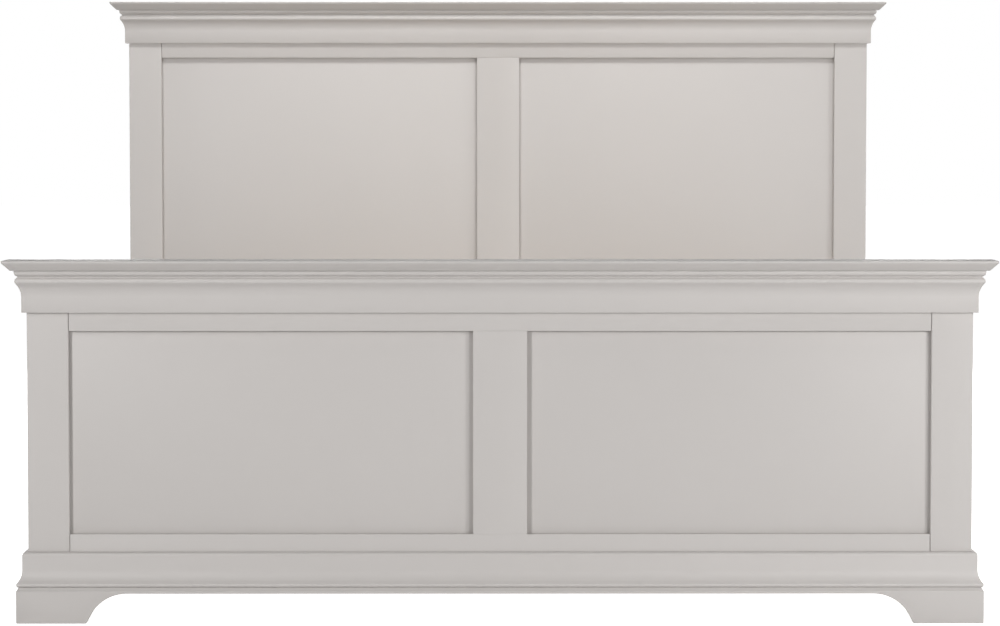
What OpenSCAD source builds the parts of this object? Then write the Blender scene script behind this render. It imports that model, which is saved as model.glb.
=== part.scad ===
// Painted bed frame: low panelled footboard, tall panelled headboard, bolted side rails, slatted base.
// X runs across the bed, the footboard stands at -Y, the headboard at +Y, and the floor is Z = 0.

/* [Boards] */
// Width over the posts of both boards
board_w = 1890; // [1600:10:1950]
// Height of the footboard
foot_h = 726; // [640:2:860]
// Height of the headboard
head_h = 1300; // [1100:10:1450]
// Clear length between the two boards
clear_l = 2020; // [1960:10:2120]

/* [Posts, rails and panels] */
// Width of a post, seen from the front
post_w = 83; // [76:1:110]
// Thickness of a post, from front to back
post_t = 45; // [40:1:60]
// Thickness of the rails and mullions of both boards
frame_t = 28; // [26:1:34]
// Width of the mullion between the two panels of a board
mullion_w = 108; // [96:1:140]
// Width of a top rail that shows under its cornice
top_rail_show = 37; // [25:1:60]
// Width of the footboard's bottom rail that shows above the base moulding
foot_rail_show = 35; // [25:1:60]
// Thickness of a panel
panel_t = 9; // [6:0.5:10]
// Depth of a panel's face behind the face of its frame
panel_recess = 12; // [8:0.5:14]
// Depth of the grooves that hold the panels and tongues
groove_depth = 10; // [8:0.5:12]
// Space left between a panel's edge and the bottom of its groove
panel_play = 2; // [1:0.5:3]
// Clearance between a panel and each wall of its groove
panel_fit = 0.2; // [0.1:0.1:0.4]
// Chamfer on both edges of the joint line between post and rail
vee = 1.2; // [0.6:0.1:2]

/* [Cap] */
// Thickness of the cap board
cap_t = 20; // [16:1:26]
// Overhang of the cap past the front and sides of the posts
cap_out = 45; // [34:1:60]
// Overhang of the cap past the back of the posts
cap_back = 8; // [3:1:20]
// Height of the blunt edge above the bevel
cap_edge = 4; // [2:0.5:8]
// Width of the bevel under the edge
cap_bevel = 16; // [8:1:20]

/* [Cornice] */
// Height of the cornice under the cap
cornice_h = 84.5; // [78:0.5:100]
// Projection of the cornice at its top
cornice_out = 22.4; // [20.5:0.1:26]
// Projection of the flat band at the foot of the cornice
fascia_out = 9.4; // [7:0.1:12]
// Radius of the rounded member under the cap
ovolo_r = 7.7; // [6.5:0.1:8.5]
// Radius of the bead
bead_r = 7.5; // [6:0.1:8.5]
// Radius of the hollow between the bead and the flat band
cove_r = 41; // [36:1:48]

/* [Base moulding and plinth] */
// Height of the plinth boards
plinth_h = 72; // [66:1:90]
// Thickness of the plinth boards
plinth_t = 22.5; // [20:0.5:28]
// Height of the base moulding
mould_h = 70; // [60:1:90]
// Projection of the base moulding's upright face
mould_out = 11; // [9:0.5:14]
// Projection of the base moulding's nose
mould_nose = 22; // [19:0.5:26]
// Radius of the round along the base moulding's top
mould_round = 7; // [4:0.5:8.5]
// Radius of the hollow that flares out to the nose
flare_r = 38; // [26:1:46]
// Width of a bracket foot at the floor
bracket_foot_w = 140; // [115:1:200]
// Height of the arch between the bracket feet
arch_rise = 60; // [45:1:64]
// Radius of the arch's shoulders
arch_r = 83; // [60:1:110]
// Slope of the bracket feet's inner edges at the floor, in degrees
arch_slope = 62; // [50:1:75]
// Side of the triangular blocks glued behind the bracket feet
glue_block = 25; // [18:1:28]

/* [Side rails and slats] */
// Height of a side rail
side_rail_h = 180; // [150:1:220]
// Thickness of a side rail
side_rail_t = 28; // [24:1:30]
// Height of the side rails above the floor
side_rail_z = 200; // [180:1:240]
// Distance of a side rail inside the outer faces of the posts
side_rail_inset = 10; // [6:1:12]
// Height of the slats' top above the bottom of the side rails
slat_rise = 120; // [115:1:140]
// Width of a slat
slat_w = 90; // [60:1:100]
// Thickness of a slat
slat_t = 18; // [15:0.5:22]
// Number of slats
slat_count = 12; // [10:1:13]
// Clearance between a slat's end and the side rail
slat_end_gap = 3; // [1:0.5:6]
// Width of the ledges that carry the slats
ledge_w = 30; // [26:1:36]
// Height of the ledges
ledge_h = 40; // [36:1:48]

/* [Centre support] */
// Width of the centre rail
centre_rail_w = 45; // [40:1:56]
// Height of the centre rail
centre_rail_h = 90; // [80:1:100]
// Width of a centre leg
leg_w = 45; // [40:1:60]
// Distance of each centre leg from the middle of the base
leg_reach = 337; // [200:1:500]
// Diameter of the spigot on top of a centre leg
spigot_d = 20; // [16:0.5:26]
// Length of the spigot
spigot_l = 28; // [20:1:40]

/* [Levelling feet] */
// Diameter of a foot's pad
pad_d = 35; // [28:1:44]
// Height of a foot's pad
pad_h = 9; // [8:0.5:14]
// Diameter of the threaded stem
stem_d = 8; // [6:0.5:10]
// Travel of the foot, from wound out to wound in
foot_travel = 12.5; // [5:0.5:20]
// Width of the stem's hexagon over its corners
hex_d = 15; // [13:0.5:18]
// Height of the stem's hexagon
hex_h = 5; // [4:0.5:8]
// Diameter of the nut's flange under the leg
nut_flange_d = 22; // [18:0.5:30]
// Diameter of the nut's barrel inside the leg
nut_barrel_d = 11; // [10.5:0.5:14]
// Length of the nut's barrel
nut_barrel_l = 12; // [8:0.5:16]
// Running clearance round the threaded stem
stem_fit = 0.05; // [0.02:0.01:0.1]

/* [Brackets and fixings] */
// Thickness of the corner brackets and rail hangers
steel_t = 3; // [2:0.5:4]
// Height of a corner bracket
bracket_h = 100; // [86:1:104]
// Length of a corner bracket along the side rail
bracket_l = 60; // [50:1:70]
// Width of a corner bracket across the post
bracket_w = 36; // [33:1:38]
// Distance between the two bolts of a corner bracket
bolt_pitch = 50; // [36:1:60]
// Diameter of a corner bolt
bolt_d = 8; // [6:0.5:10]
// Length of a corner bolt under its head
bolt_l = 26; // [20:1:34]
// Diameter of a corner bolt's head
bolt_head_d = 14; // [13:0.5:16]
// Height of a corner bolt's head
bolt_head_h = 4.4; // [3:0.1:6]
// Diameter of a threaded insert
insert_d = 12; // [11.5:0.5:14]
// Length of a threaded insert
insert_l = 25; // [16:1:30]
// Diameter of a wood screw
screw_d = 4; // [3:0.1:5]
// Diameter of a wood screw's head
screw_head_d = 8; // [7:0.1:9]
// Length of the countersunk screws in slats and ledges
long_screw_l = 45; // [42:1:48]
// Length of the screws in brackets and hangers
short_screw_l = 20; // [14:1:22]
// Clearance round a screw, a bolt or an insert in its hole
hole_fit = 0.1; // [0.05:0.05:0.2]
// Clearance between the centre rail and each cheek of its hanger
hanger_fit = 0.5; // [0.2:0.1:0.8]
// Length of a hanger's cheeks along the centre rail
hanger_reach = 45; // [35:1:60]
// Height of a hanger's cheeks
hanger_h = 64; // [54:1:72]

/* [Hidden] */
$fn = 48;
// Cutters and clipping shapes pass the solids by this much
past = 1;

// Where the boards stand
total_l = cap_out + 2 * post_t + clear_l + cap_back;
foot_y = -total_l / 2 + cap_out;
head_y = foot_y + post_t + clear_l;
base_y = head_y - clear_l / 2;

// Heights on the boards
foot_top = foot_h - cap_t;
head_top = head_h - cap_t;
under_top = cornice_h + top_rail_show;
arch_cover = 2;
foot_rail_z = arch_rise + arch_cover;
foot_rail_top = plinth_h + mould_h + foot_rail_show;
head_rail_z = side_rail_z;
head_rail_top = side_rail_z + side_rail_h;

// Widths and grooves on the boards
half_w = board_w / 2;
inner_w = board_w - 2 * post_w;
groove_w = panel_t + 2 * panel_fit;
groove_y = panel_recess - panel_fit;
panel_edge = groove_depth - panel_play;
bay_w = (inner_w - mullion_w) / 2;

// Cornice: how far each member lies under the cap
ovolo_x = cornice_out - ovolo_r;
ovolo_y = 3.9;
quirk_out = 16 / 22.4 * cornice_out;
quirk_top = ovolo_y + arc_drop(ovolo_r, quirk_out - ovolo_x);
quirk_h = 2.3;
bead_x = cornice_out - 1 - bead_r;
bead_y = quirk_top + quirk_h + arc_drop(bead_r, quirk_out - bead_x);
cove_x = fascia_out + cove_r;
cove_y = bead_y + arc_drop(bead_r + cove_r, cove_x - bead_x);

// Base moulding and plinth
nose_bevel = 3;
flare_top = 34;
plinth_bevel_w = 5;
plinth_bevel_h = 7;
plinth_half = half_w + plinth_t;
shoulder_x = plinth_half - bracket_foot_w - arch_run(arch_rise);
glue_block_z = 4;

// Base
rail_x = half_w - side_rail_inset - side_rail_t;
slat_top = side_rail_z + slat_rise;
slat_z = slat_top - slat_t;
slat_gap = (clear_l - slat_count * slat_w) / (slat_count + 1);
slat_step = slat_w + slat_gap;
ledge_clear = 6;
ledge_l = clear_l - 2 * (bracket_l + ledge_clear);
bracket_z = side_rail_z + 5;
screw_head_h = (screw_head_d - screw_d) / 2;
screw_tip = 3;
pilot_past = 1;
bolt_socket_d = 5.8;
bolt_socket_h = 2.4;
bolt_head_rim = 1.2;
insert_room = 2;

// Centre rail, its hangers and its legs
centre_rail_z = slat_z - centre_rail_h;
hanger_end = 1;
hanger_flange = 20;
hanger_half = centre_rail_w / 2 + hanger_fit + steel_t;
foot_hanger_y = -clear_l / 2 - (post_t - frame_t);
head_hanger_y = clear_l / 2;
centre_rail_y0 = foot_hanger_y + steel_t + hanger_end;
centre_rail_y1 = head_hanger_y - steel_t - hanger_end;
spigot_room = 2;

// Levelling feet, from the floor up
pad_floor = 3;
pad_rim = 2;
foot_gap = 0.3;
nut_flange_t = 1.5;
travel_gap = 1;
hex_z = pad_h + foot_gap;
nut_z = hex_z + hex_h + foot_travel + travel_gap;
leg_z = nut_z + nut_flange_t;
stem_top = leg_z + nut_barrel_l;
leg_bore_fit = 0.5;

// Colours
paint = [0.77, 0.76, 0.74];
pine = [0.85, 0.70, 0.48];
zinc = [0.72, 0.73, 0.74];
plastic = [0.12, 0.12, 0.13];

function two_digits(n) = n < 10 ? str("0", n) : str(n);
function slat_name(i) = str("slat_", two_digits(i));
function slat_y(i) = -clear_l / 2 + slat_gap + slat_w / 2 + (i - 1) * slat_step;
// Height on a circle's side, from its centre, at a distance across from that centre
function arc_drop(r, across) = sqrt(r * r - across * across);
// Width that one side of the arch takes from the floor up to its level top
function arch_run(rise) =
    arch_r * sin(arch_slope) + (rise - arch_r * (1 - cos(arch_slope))) / tan(arch_slope);

// Places and mirrors

module at_foot() {
    translate([0, foot_y, 0])
        children();
}

module at_head() {
    translate([0, head_y, 0])
        children();
}

module at_base() {
    translate([0, base_y, 0])
        children();
}

module on_left() {
    mirror([1, 0, 0])
        children();
}

module on_both_sides() {
    children();
    mirror([1, 0, 0])
        children();
}

// The meeting of a side rail's inner face and a post's inner face, at all four corners
module at_corners() {
    for (across = [0, 1])
        for (along = [0, 1])
            mirror([across, 0, 0])
                mirror([0, along, 0])
                    translate([rail_x, -clear_l / 2, bracket_z])
                        children();
}

// Both ends of the centre rail, with +Y pointing into the bed from the board's face
module at_hangers() {
    translate([0, foot_hanger_y, centre_rail_z])
        children();
    translate([0, head_hanger_y, centre_rail_z])
        mirror([0, 1, 0])
            children();
}

module at_leg(place) {
    translate([0, place * leg_reach, 0])
        children();
}

// A profile drawn as (projection, height), run along the front of a board
module along_front(length) {
    translate([-length / 2, 0, 0])
        mirror([0, 1, 0])
            rotate([90, 0, 90])
                linear_extrude(length)
                    children();
}

// The same profile, run along the right side of a board from its back to past its front
module along_side(past_front) {
    translate([half_w, post_t, 0])
        rotate([90, 0, 0])
            linear_extrude(post_t + past_front)
                children();
}

// Mouldings with mitred corners

module front_mitre(reach, height) {
    linear_extrude(height)
        polygon([
            [-half_w, 0],
            [half_w, 0],
            [half_w + reach, -reach],
            [-half_w - reach, -reach]
        ]);
}

module side_mitre(reach, height) {
    linear_extrude(height)
        polygon([
            [half_w, post_t],
            [half_w, 0],
            [half_w + reach, -reach],
            [half_w + reach, post_t]
        ]);
}

module front_moulding(reach, height) {
    intersection() {
        along_front(board_w + 2 * reach)
            children();
        front_mitre(reach, height);
    }
}

module side_moulding(reach, height) {
    intersection() {
        along_side(reach)
            children();
        side_mitre(reach, height);
    }
}

// Profiles, as (projection, height) from the foot of each moulding

module cornice_profile() {
    translate([0, cornice_h])
        cornice_members();
}

module cornice_members() {
    // Flat edge and round under the cap
    translate([0, -ovolo_y])
        square([cornice_out, ovolo_y]);
    intersection() {
        translate([ovolo_x, -ovolo_y])
            circle(ovolo_r);
        translate([0, -ovolo_y - ovolo_r])
            square([cornice_out + past, ovolo_r]);
    }
    // Narrow flat between the round and the bead
    translate([0, -bead_y - past])
        square([quirk_out, bead_y + past - ovolo_y / 2]);
    translate([bead_x, -bead_y])
        circle(bead_r);
    // Hollow that flows out of the bead, down to the flat band
    difference() {
        polygon([
            [0, -cove_y],
            [cove_x, -cove_y],
            [bead_x, -bead_y],
            [0, -bead_y]
        ]);
        translate([cove_x, -cove_y])
            circle(cove_r);
    }
    translate([0, -cornice_h])
        square([fascia_out, cornice_h - cove_y]);
}

module base_mould_profile() {
    round_x = mould_out - mould_round;
    round_y = mould_h - mould_round;
    // Small round along the top
    translate([0, round_y])
        square([round_x, mould_round]);
    intersection() {
        translate([round_x, round_y])
            circle(mould_round);
        translate([round_x, round_y])
            square(mould_round + past);
    }
    translate([0, flare_top])
        square([mould_out, round_y - flare_top]);
    // Hollow that flares out to the nose
    difference() {
        polygon([
            [0, 0],
            [mould_nose - nose_bevel, 0],
            [mould_nose, nose_bevel],
            [mould_nose, flare_top],
            [0, flare_top]
        ]);
        translate([mould_out + flare_r, flare_top])
            circle(flare_r);
    }
}

module plinth_profile() {
    polygon([
        [0, 0],
        [plinth_t, 0],
        [plinth_t, plinth_h - plinth_bevel_h],
        [plinth_t - plinth_bevel_w, plinth_h],
        [0, plinth_h]
    ]);
}

// Right half of the arch between the bracket feet, as (x, z)
module arch_half() {
    tangent_x = shoulder_x + arch_r * sin(arch_slope);
    tangent_z = arch_rise - arch_r * (1 - cos(arch_slope));
    floor_x = plinth_half - bracket_foot_w;
    translate([-past, -past])
        square([shoulder_x + past, arch_rise + past]);
    intersection() {
        translate([shoulder_x, arch_rise - arch_r])
            circle(arch_r);
        translate([shoulder_x, tangent_z])
            square([arch_r, arch_r]);
    }
    polygon([
        [shoulder_x, -past],
        [floor_x + past / tan(arch_slope), -past],
        [tangent_x, tangent_z],
        [shoulder_x, tangent_z]
    ]);
}

module arch_cut() {
    on_both_sides()
        translate([0, past, 0])
            rotate([90, 0, 0])
                linear_extrude(plinth_t + 2 * past)
                    arch_half();
}

// Framed boards, drawn with the front face of the posts at Y = 0

module cap_board(top) {
    reach = half_w + cap_out;
    depth = post_t + cap_back;
    translate([0, 0, top])
        intersection() {
            translate([-reach, 0, 0])
                rotate([90, 0, 90])
                    linear_extrude(2 * reach)
                        polygon([
                            [-cap_out + cap_bevel, 0],
                            [depth, 0],
                            [depth, cap_t],
                            [-cap_out, cap_t],
                            [-cap_out, cap_t - cap_edge]
                        ]);
            translate([0, depth, 0])
                rotate([90, 0, 0])
                    linear_extrude(depth + cap_out)
                        polygon([
                            [-reach + cap_bevel, 0],
                            [reach - cap_bevel, 0],
                            [reach, cap_t - cap_edge],
                            [reach, cap_t],
                            [-reach, cap_t],
                            [-reach, cap_t - cap_edge]
                        ]);
        }
}

module front_cornice(top) {
    translate([0, 0, top - cornice_h])
        front_moulding(cap_out, cornice_h)
            cornice_profile();
}

module side_cornice(top) {
    translate([0, 0, top - cornice_h])
        side_moulding(cap_out, cornice_h)
            cornice_profile();
}

// Right post, with the groove for tongues and panel down its inner edge
module grooved_post(top, groove_z) {
    inner_x = half_w - post_w;
    difference() {
        translate([inner_x, 0, 0])
            cube([post_w, post_t, top]);
        translate([inner_x - past, groove_y, groove_z])
            cube([groove_depth + past, groove_w, top - groove_z + past]);
        vee_cut(inner_x, 1, top);
    }
}

// Chamfer on a front edge at x, cut towards +X or -X
module vee_cut(x, way, height) {
    translate([x, 0, -past])
        linear_extrude(height + 2 * past)
            polygon([
                [-way * past, -past],
                [way * (vee + past), -past],
                [-way * past, vee + past]
            ]);
}

// Rail between the posts, with tongues at its ends and a groove along one edge
module grooved_rail(bottom, height, groove_on_top) {
    edge_z = groove_on_top ? bottom + height - groove_depth : bottom - past;
    difference() {
        union() {
            translate([-inner_w / 2, 0, bottom])
                cube([inner_w, frame_t, height]);
            translate([-inner_w / 2 - groove_depth, groove_y, bottom])
                cube([inner_w + 2 * groove_depth, groove_w, height]);
        }
        translate([-inner_w / 2 - groove_depth - past, groove_y, edge_z])
            cube([inner_w + 2 * (groove_depth + past), groove_w, groove_depth + past]);
        translate([0, 0, bottom])
            on_both_sides()
                vee_cut(inner_w / 2, -1, height);
    }
}

// Mullion between the rails, with a tongue at each end and a groove along each edge
module grooved_mullion(bottom, top) {
    groove_x = mullion_w / 2 - groove_depth;
    difference() {
        union() {
            translate([-mullion_w / 2, 0, bottom])
                cube([mullion_w, frame_t, top - bottom]);
            translate([-groove_x, groove_y, bottom - groove_depth])
                cube([2 * groove_x, groove_w, top - bottom + 2 * groove_depth]);
        }
        on_both_sides()
            translate([groove_x, groove_y, bottom - past])
                cube([groove_depth + past, groove_w, top - bottom + 2 * past]);
    }
}

// Right panel, let into the grooves round its bay
module bay_panel(bottom, top) {
    translate([mullion_w / 2 - panel_edge, panel_recess, bottom - panel_edge])
        cube([bay_w + 2 * panel_edge, panel_t, top - bottom + 2 * panel_edge]);
}

// Fixings, each drawn with its head's seat at Z = 0 and its shank pointing down

module button_bolt() {
    difference() {
        rotate_extrude()
            polygon([
                [0, -bolt_l],
                [bolt_d / 2 - 1, -bolt_l],
                [bolt_d / 2, -bolt_l + 1],
                [bolt_d / 2, 0],
                [bolt_head_d / 2, 0],
                [bolt_head_d / 2, bolt_head_rim],
                [bolt_head_d / 2 - 2, bolt_head_h],
                [0, bolt_head_h]
            ]);
        translate([0, 0, bolt_head_h - bolt_socket_h])
            cylinder(d = bolt_socket_d, h = bolt_socket_h + past, $fn = 6);
    }
}

module insert_tube() {
    difference() {
        translate([0, 0, -insert_l])
            cylinder(d = insert_d, h = insert_l);
        translate([0, 0, -insert_l - past])
            cylinder(d = bolt_d + 2 * hole_fit, h = insert_l + 2 * past);
    }
}

module pan_screw() {
    rotate_extrude()
        polygon([
            [0, -short_screw_l],
            [screw_d / 2, -short_screw_l + screw_tip],
            [screw_d / 2, 0],
            [screw_head_d / 2, 0],
            [screw_head_d / 2 - 1, screw_head_h],
            [0, screw_head_h + 0.4]
        ]);
}

// Countersunk screw with its flat head level with Z = 0
module countersunk_screw() {
    rotate_extrude()
        polygon([
            [0, -long_screw_l],
            [screw_d / 2, -long_screw_l + screw_tip],
            [screw_d / 2, -screw_head_h],
            [screw_head_d / 2, 0],
            [0, 0]
        ]);
}

// Hole with a conical seat that the countersunk screw drops into
module countersunk_hole() {
    rotate_extrude()
        polygon([
            [0, -long_screw_l - pilot_past],
            [screw_d / 2 + hole_fit, -long_screw_l - pilot_past],
            [screw_d / 2 + hole_fit, -screw_head_h],
            [screw_head_d / 2 + hole_fit, 0],
            [screw_head_d / 2 + hole_fit, past],
            [0, past]
        ]);
}

module pilot_hole() {
    translate([0, 0, -short_screw_l - pilot_past])
        cylinder(d = screw_d + 2 * hole_fit, h = short_screw_l + pilot_past + past);
}

// Hole through the steel of a bracket or a hanger
module steel_hole(shank_d) {
    translate([0, 0, -past])
        cylinder(d = shank_d + 2 * hole_fit, h = steel_t + 2 * past);
}

// Where the fixings go

module at_corner_bolts() {
    at_corners()
        for (up = [-1, 1])
            translate([-bracket_w / 2, 0, bracket_h / 2 + up * bolt_pitch / 2])
                rotate([-90, 0, 0])
                    children();
}

module at_bracket_screws() {
    at_corners()
        for (along = [0.36, 0.78])
            for (up = [0.22, 0.78])
                translate([0, along * bracket_l, up * bracket_h])
                    rotate([0, -90, 0])
                        children();
}

module at_hanger_screws() {
    at_hangers()
        for (side = [-1, 1])
            for (up = [0.25, 0.75])
                translate([side * (hanger_half + hanger_flange / 2), 0, up * hanger_h])
                    rotate([-90, 0, 0])
                        children();
}

module at_slat_screws(i) {
    for (side = [-1, 1])
        for (along = [-1, 1])
            translate([side * (rail_x - ledge_w / 2), slat_y(i) + along * slat_w / 4, slat_top])
                children();
}

// Ledge screws on the right, in every second gap between slats
module at_ledge_screws() {
    for (i = [1 : 2 : slat_count - 1])
        translate([rail_x - ledge_w, slat_y(i) + slat_step / 2, slat_z - ledge_h / 2])
            rotate([0, -90, 0])
                children();
}

module insert_pocket() {
    translate([0, 0, -insert_l - insert_room])
        cylinder(d = insert_d + 2 * hole_fit, h = insert_l + insert_room + past);
}

// Footboard

module foot_post() {
    color(paint)
        difference() {
            at_foot()
                grooved_post(foot_top, foot_rail_z);
            at_base()
                at_corner_bolts()
                    insert_pocket();
        }
}

module foot_post_right() {
    foot_post();
}

module foot_post_left() {
    on_left()
        foot_post();
}

module foot_top_rail() {
    color(paint)
        at_foot()
            grooved_rail(foot_top - under_top, under_top, false);
}

module foot_bottom_rail() {
    color(paint)
        at_foot()
            grooved_rail(foot_rail_z, foot_rail_top - foot_rail_z, true);
}

module foot_mullion() {
    color(paint)
        difference() {
            at_foot()
                grooved_mullion(foot_rail_top, foot_top - under_top);
            at_base()
                at_hanger_screws()
                    pilot_hole();
        }
}

module foot_panel_right() {
    color(paint)
        at_foot()
            bay_panel(foot_rail_top, foot_top - under_top);
}

module foot_panel_left() {
    on_left()
        foot_panel_right();
}

module foot_cap() {
    color(paint)
        at_foot()
            cap_board(foot_top);
}

module foot_cornice_front() {
    color(paint)
        at_foot()
            front_cornice(foot_top);
}

module foot_cornice_right() {
    color(paint)
        at_foot()
            side_cornice(foot_top);
}

module foot_cornice_left() {
    on_left()
        foot_cornice_right();
}

module base_mould_front() {
    color(paint)
        at_foot()
            translate([0, 0, plinth_h])
                front_moulding(cap_out, mould_h)
                    base_mould_profile();
}

module base_mould_right() {
    color(paint)
        at_foot()
            translate([0, 0, plinth_h])
                side_moulding(cap_out, mould_h)
                    base_mould_profile();
}

module base_mould_left() {
    on_left()
        base_mould_right();
}

module plinth_front() {
    color(paint)
        at_foot()
            difference() {
                front_moulding(cap_out, plinth_h)
                    plinth_profile();
                arch_cut();
            }
}

module plinth_right() {
    color(paint)
        at_foot()
            side_moulding(cap_out, plinth_h)
                plinth_profile();
}

module plinth_left() {
    on_left()
        plinth_right();
}

module glue_blocks() {
    color(pine)
        at_foot()
            on_both_sides()
                translate([inner_w / 2, 0, glue_block_z])
                    linear_extrude(foot_rail_z - glue_block_z)
                        polygon([[0, 0], [0, glue_block], [-glue_block, 0]]);
}

// Headboard

module head_post() {
    color(paint)
        difference() {
            at_head()
                grooved_post(head_top, head_rail_z);
            at_base()
                at_corner_bolts()
                    insert_pocket();
        }
}

module head_post_right() {
    head_post();
}

module head_post_left() {
    on_left()
        head_post();
}

module head_top_rail() {
    color(paint)
        at_head()
            grooved_rail(head_top - under_top, under_top, false);
}

module head_bottom_rail() {
    color(paint)
        difference() {
            at_head()
                grooved_rail(head_rail_z, side_rail_h, true);
            at_base()
                at_hanger_screws()
                    pilot_hole();
        }
}

module head_mullion() {
    color(paint)
        at_head()
            grooved_mullion(head_rail_top, head_top - under_top);
}

module head_panel_right() {
    color(paint)
        at_head()
            bay_panel(head_rail_top, head_top - under_top);
}

module head_panel_left() {
    on_left()
        head_panel_right();
}

module head_cap() {
    color(paint)
        at_head()
            cap_board(head_top);
}

module head_cornice_front() {
    color(paint)
        at_head()
            front_cornice(head_top);
}

module head_cornice_right() {
    color(paint)
        at_head()
            side_cornice(head_top);
}

module head_cornice_left() {
    on_left()
        head_cornice_right();
}

// Side rails, ledges and slats

module side_rail_right() {
    color(paint)
        at_base()
            difference() {
                translate([rail_x, -clear_l / 2, side_rail_z])
                    cube([side_rail_t, clear_l, side_rail_h]);
                at_bracket_screws()
                    pilot_hole();
                at_ledge_screws()
                    countersunk_hole();
            }
}

module side_rail_left() {
    on_left()
        side_rail_right();
}

module slat_ledge_right() {
    color(pine)
        at_base()
            difference() {
                translate([rail_x - ledge_w, -ledge_l / 2, slat_z - ledge_h])
                    cube([ledge_w, ledge_l, ledge_h]);
                at_ledge_screws()
                    countersunk_hole();
                for (i = [1 : slat_count])
                    at_slat_screws(i)
                        countersunk_hole();
            }
}

module slat_ledge_left() {
    on_left()
        slat_ledge_right();
}

module slat(i) {
    half_l = rail_x - slat_end_gap;
    color(pine)
        at_base()
            difference() {
                translate([-half_l, slat_y(i) - slat_w / 2, slat_z])
                    cube([2 * half_l, slat_w, slat_t]);
                at_slat_screws(i)
                    countersunk_hole();
            }
}

// Centre rail, its hangers and its legs

module centre_rail() {
    color(pine)
        at_base()
            difference() {
                translate([-centre_rail_w / 2, centre_rail_y0, centre_rail_z])
                    cube([centre_rail_w, centre_rail_y1 - centre_rail_y0, centre_rail_h]);
                for (place = [-1, 1])
                    at_leg(place)
                        translate([0, 0, centre_rail_z - past])
                            cylinder(d = spigot_d + 2 * hole_fit, h = spigot_l + spigot_room + past);
            }
}

// Steel saddle: a back plate with two flanges, and a trough that the rail's end drops into
module rail_hanger() {
    plate_w = 2 * (hanger_half + hanger_flange);
    translate([-plate_w / 2, 0, -steel_t])
        cube([plate_w, steel_t, hanger_h + steel_t]);
    translate([-hanger_half, 0, -steel_t])
        cube([2 * hanger_half, hanger_reach, steel_t]);
    on_both_sides()
        translate([hanger_half - steel_t, 0, -steel_t])
            cube([steel_t, hanger_reach, hanger_h + steel_t]);
}

module centre_rail_hangers() {
    color(zinc)
        at_base()
            difference() {
                at_hangers()
                    rail_hanger();
                at_hanger_screws()
                    steel_hole(screw_d);
            }
}

// Square leg with a turned spigot above and a bored foot below
module centre_leg() {
    difference() {
        union() {
            translate([-leg_w / 2, -leg_w / 2, leg_z])
                cube([leg_w, leg_w, centre_rail_z - leg_z]);
            translate([0, 0, centre_rail_z - past])
                cylinder(d = spigot_d, h = spigot_l + past);
        }
        translate([0, 0, leg_z - past])
            cylinder(d = nut_barrel_d + 2 * hole_fit, h = nut_barrel_l + past);
        translate([0, 0, leg_z - past])
            cylinder(d = stem_d + 2 * leg_bore_fit, h = nut_barrel_l + foot_travel + 2 * past + travel_gap);
    }
}

module centre_leg_front() {
    color(pine)
        at_base()
            at_leg(-1)
                centre_leg();
}

module centre_leg_back() {
    color(pine)
        at_base()
            at_leg(1)
                centre_leg();
}

module leg_nut() {
    difference() {
        union() {
            translate([0, 0, nut_z])
                cylinder(d = nut_flange_d, h = nut_flange_t);
            translate([0, 0, nut_z])
                cylinder(d = nut_barrel_d, h = nut_flange_t + nut_barrel_l);
        }
        translate([0, 0, nut_z - past])
            cylinder(d = stem_d + 2 * stem_fit, h = nut_flange_t + nut_barrel_l + 2 * past);
    }
}

module leg_nuts() {
    color(zinc)
        at_base()
            for (place = [-1, 1])
                at_leg(place)
                    leg_nut();
}

// Round pad with a blind socket in which the stem turns
module levelling_pad() {
    difference() {
        rotate_extrude()
            polygon([
                [0, 0],
                [pad_d / 2, 0],
                [pad_d / 2, pad_rim],
                [hex_d / 2, pad_h],
                [0, pad_h]
            ]);
        translate([0, 0, pad_floor])
            cylinder(d = stem_d + 2 * stem_fit, h = pad_h);
    }
}

module levelling_pad_front() {
    color(plastic)
        at_base()
            at_leg(-1)
                levelling_pad();
}

module levelling_pad_back() {
    color(plastic)
        at_base()
            at_leg(1)
                levelling_pad();
}

module levelling_stem() {
    translate([0, 0, pad_floor + stem_fit])
        cylinder(d = stem_d, h = stem_top - pad_floor - stem_fit);
    translate([0, 0, hex_z])
        cylinder(d = hex_d, h = hex_h, $fn = 6);
}

module levelling_stem_front() {
    color(zinc)
        at_base()
            at_leg(-1)
                levelling_stem();
}

module levelling_stem_back() {
    color(zinc)
        at_base()
            at_leg(1)
                levelling_stem();
}

// Brackets and fixings

module corner_bracket() {
    linear_extrude(bracket_h)
        polygon([
            [-bracket_w, 0],
            [0, 0],
            [0, bracket_l],
            [-steel_t, bracket_l],
            [-steel_t, steel_t],
            [-bracket_w, steel_t]
        ]);
}

module corner_brackets() {
    color(zinc)
        at_base()
            difference() {
                at_corners()
                    corner_bracket();
                at_bracket_screws()
                    steel_hole(screw_d);
                at_corner_bolts()
                    steel_hole(bolt_d);
            }
}

module corner_bolts() {
    color(zinc)
        at_base()
            at_corner_bolts()
                translate([0, 0, steel_t])
                    button_bolt();
}

module threaded_inserts() {
    color(zinc)
        at_base()
            at_corner_bolts()
                insert_tube();
}

module bracket_screws() {
    color(zinc)
        at_base() {
            at_bracket_screws()
                translate([0, 0, steel_t])
                    pan_screw();
            at_hanger_screws()
                translate([0, 0, steel_t])
                    pan_screw();
        }
}

module countersunk_screws() {
    color(zinc)
        at_base() {
            for (i = [1 : slat_count])
                at_slat_screws(i)
                    countersunk_screw();
            on_both_sides()
                at_ledge_screws()
                    countersunk_screw();
        }
}

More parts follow.
